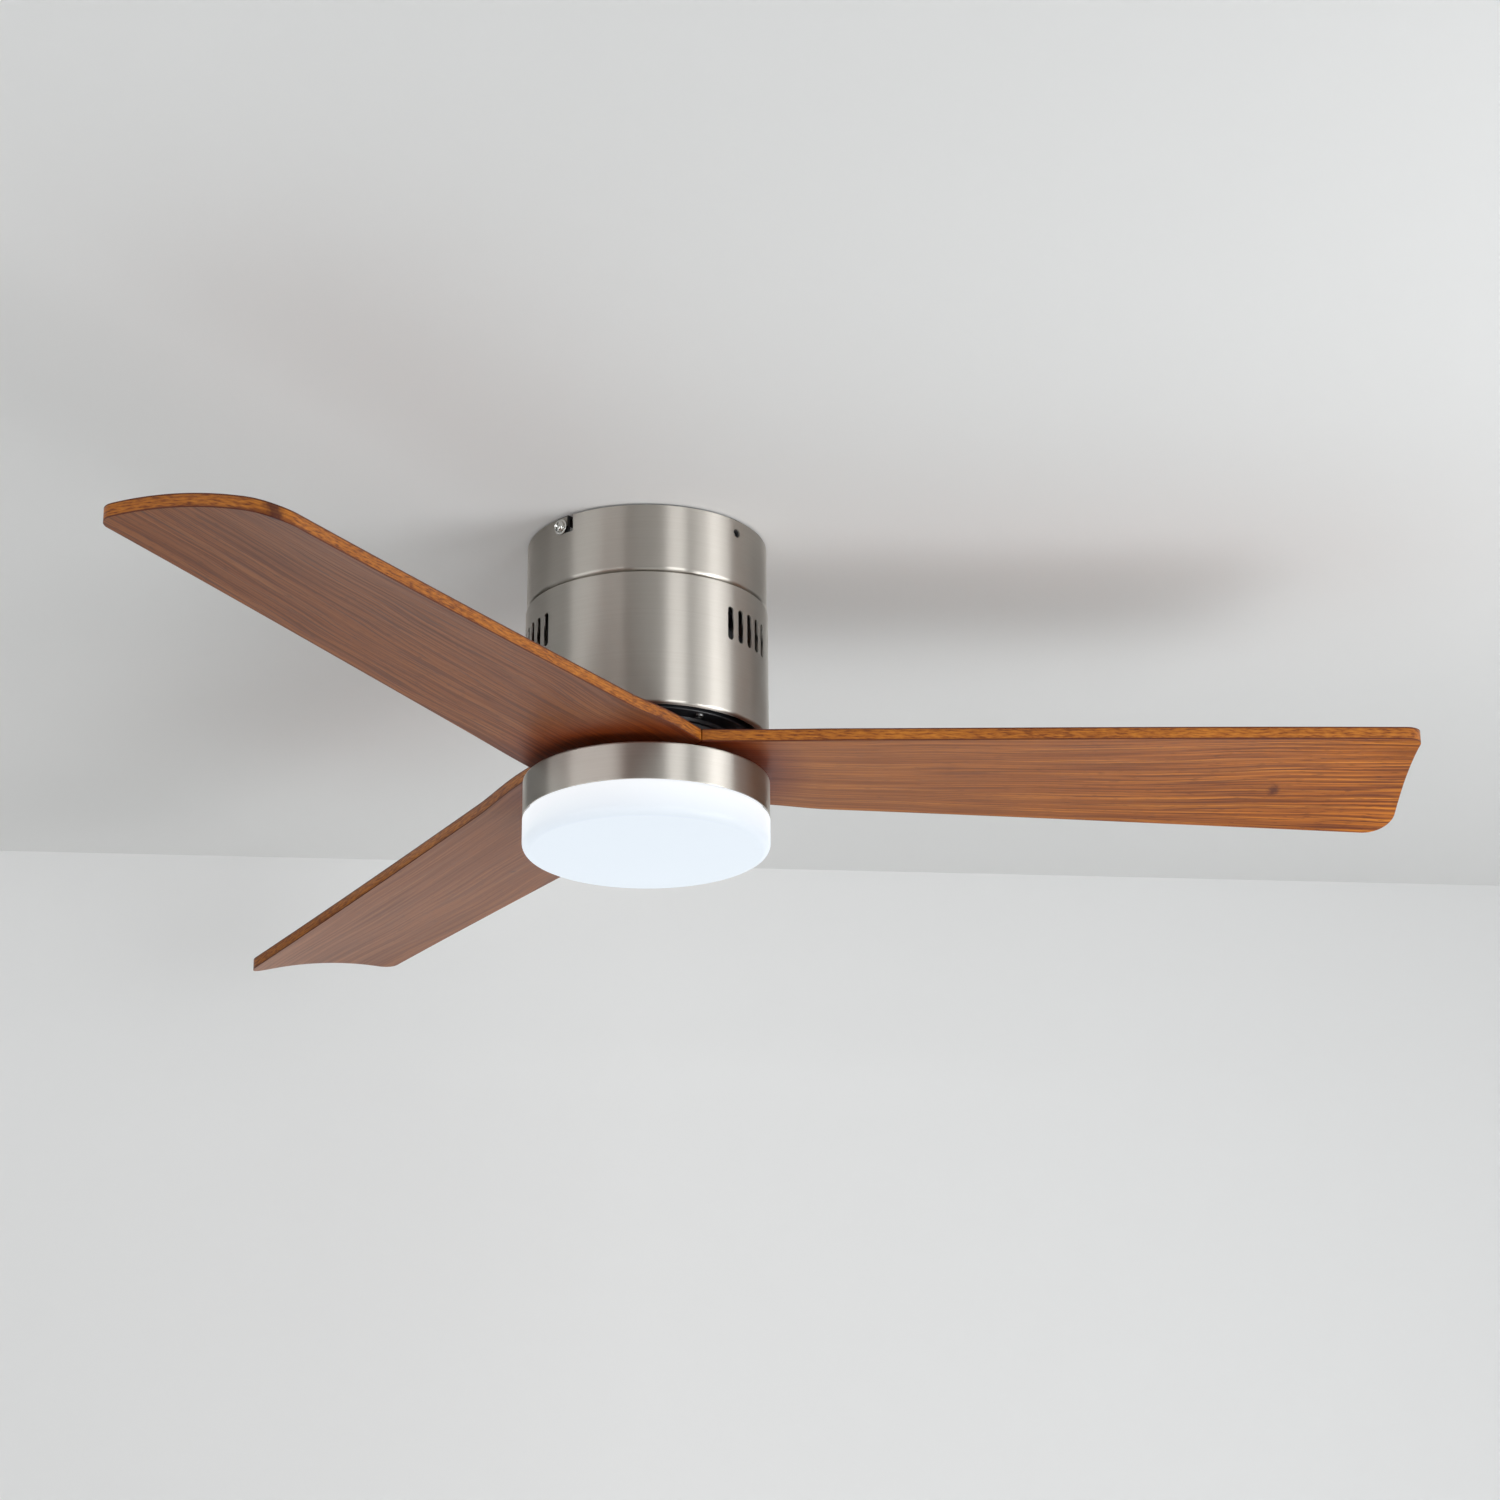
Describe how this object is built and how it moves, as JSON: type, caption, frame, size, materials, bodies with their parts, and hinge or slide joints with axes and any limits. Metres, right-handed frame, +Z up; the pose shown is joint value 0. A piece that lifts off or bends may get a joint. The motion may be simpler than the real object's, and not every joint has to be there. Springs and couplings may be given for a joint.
{
  "type": "ceiling fan with light",
  "caption": "Flush-mount ceiling fan: round satin nickel canopy and motor housing, three twisted walnut-finish plywood blades and a flat round opal LED light.",
  "frame": {"origin": "on the fan axis, in the plane of the ceiling that the bracket is screwed to", "axes": "+Z up into the ceiling along the fan axis, so the fan hangs in -Z; +X along the first blade at rest; right-handed"},
  "size_m": [1.0502, 1.204, 0.2796],
  "materials": {
    "satin_nickel": "satin brushed nickel plate, brushed round the axis",
    "walnut_ply": "plywood with walnut-stained veneer, satin lacquer, stained edge plies",
    "opal_acrylic": "opal acrylic, smooth satin outside, lit from inside",
    "black_paint": "die-cast, semi-gloss black stoved paint",
    "black_steel": "pressed steel, matt black stoved paint",
    "zinc_steel": "zinc-plated pressed steel",
    "zinc_bright": "bright zinc-plated screws and nuts",
    "bare_steel": "turned steel",
    "bearing_steel": "ground and polished",
    "black_oxide": "black-oxide spring steel",
    "lamination_steel": "stacked laminations, varnished",
    "copper_enamel": "enamelled copper winding",
    "ferrite": "ground ferrite",
    "brass_screw": "bright brass",
    "ivory_plastic": "moulded, fine matt texture",
    "black_plastic": "moulded, fine matt texture",
    "black_rubber": "matt",
    "white_solder_mask": "white solder mask on an aluminium board",
    "led_phosphor": "phosphor dome in a white package",
    "grey_sheath": "soft grey cable sheath"
  },
  "bodies": {
    "root": {"ceiling_bracket": "black_steel", "canopy": "satin_nickel", "canopy_screws": "zinc_bright", "canopy_washers": "zinc_bright", "earth_screw": "brass_screw", "supply_terminal_block": "ivory_plastic", "terminal_screws": "brass_screw", "receiver_module": "black_plastic", "receiver_screws": "zinc_bright", "motor_housing": "satin_nickel", "motor_mount_plate": "zinc_steel", "housing_screws": "zinc_bright", "motor_shaft": "bare_steel", "shaft_washer": "zinc_bright", "shaft_nut": "zinc_bright", "upper_bearing_inner_race": "bearing_steel", "lower_bearing_inner_race": "bearing_steel", "shaft_circlip": "black_oxide", "stator_core": "lamination_steel", "stator_windings": "copper_enamel", "light_jam_nut": "zinc_bright", "light_top_washer": "zinc_bright", "light_pan": "satin_nickel", "light_nut": "zinc_bright", "board_standoffs": "brass_screw", "led_board": "white_solder_mask", "led_chips": "led_phosphor", "led_board_screws": "zinc_bright", "led_driver": "ivory_plastic", "driver_screws": "zinc_bright", "shade_keepers": "zinc_steel", "motor_lead": "grey_sheath", "light_lead": "grey_sheath", "supply_lead": "grey_sheath"},
    "rotor": {"upper_bearing_outer_race": "bearing_steel", "upper_bearing_balls": "bearing_steel", "lower_bearing_outer_race": "bearing_steel", "lower_bearing_balls": "bearing_steel", "rotor_magnets": "ferrite", "rotor_back_iron": "bare_steel", "rotor_cover": "black_paint", "rotor_plate": "black_paint", "rotor_screws": "zinc_bright", "blade_1": "walnut_ply", "blade_2": "walnut_ply", "blade_3": "walnut_ply", "blade_screws": "zinc_bright", "blade_washers": "black_rubber"},
    "shade_body": {"shade": "opal_acrylic"}
  },
  "joints": [
    {"name": "rotor_spin", "type": "hinge", "parent": "root", "child": "rotor", "pos_m": [0, 0, -0.196], "axis": [0, 0, 1], "continuous": true},
    {"name": "shade_twist", "type": "hinge", "parent": "root", "child": "shade_body", "pos_m": [0, 0, -0.25], "axis": [0, 0, 1], "range_deg": [0, 20]}
  ]
}
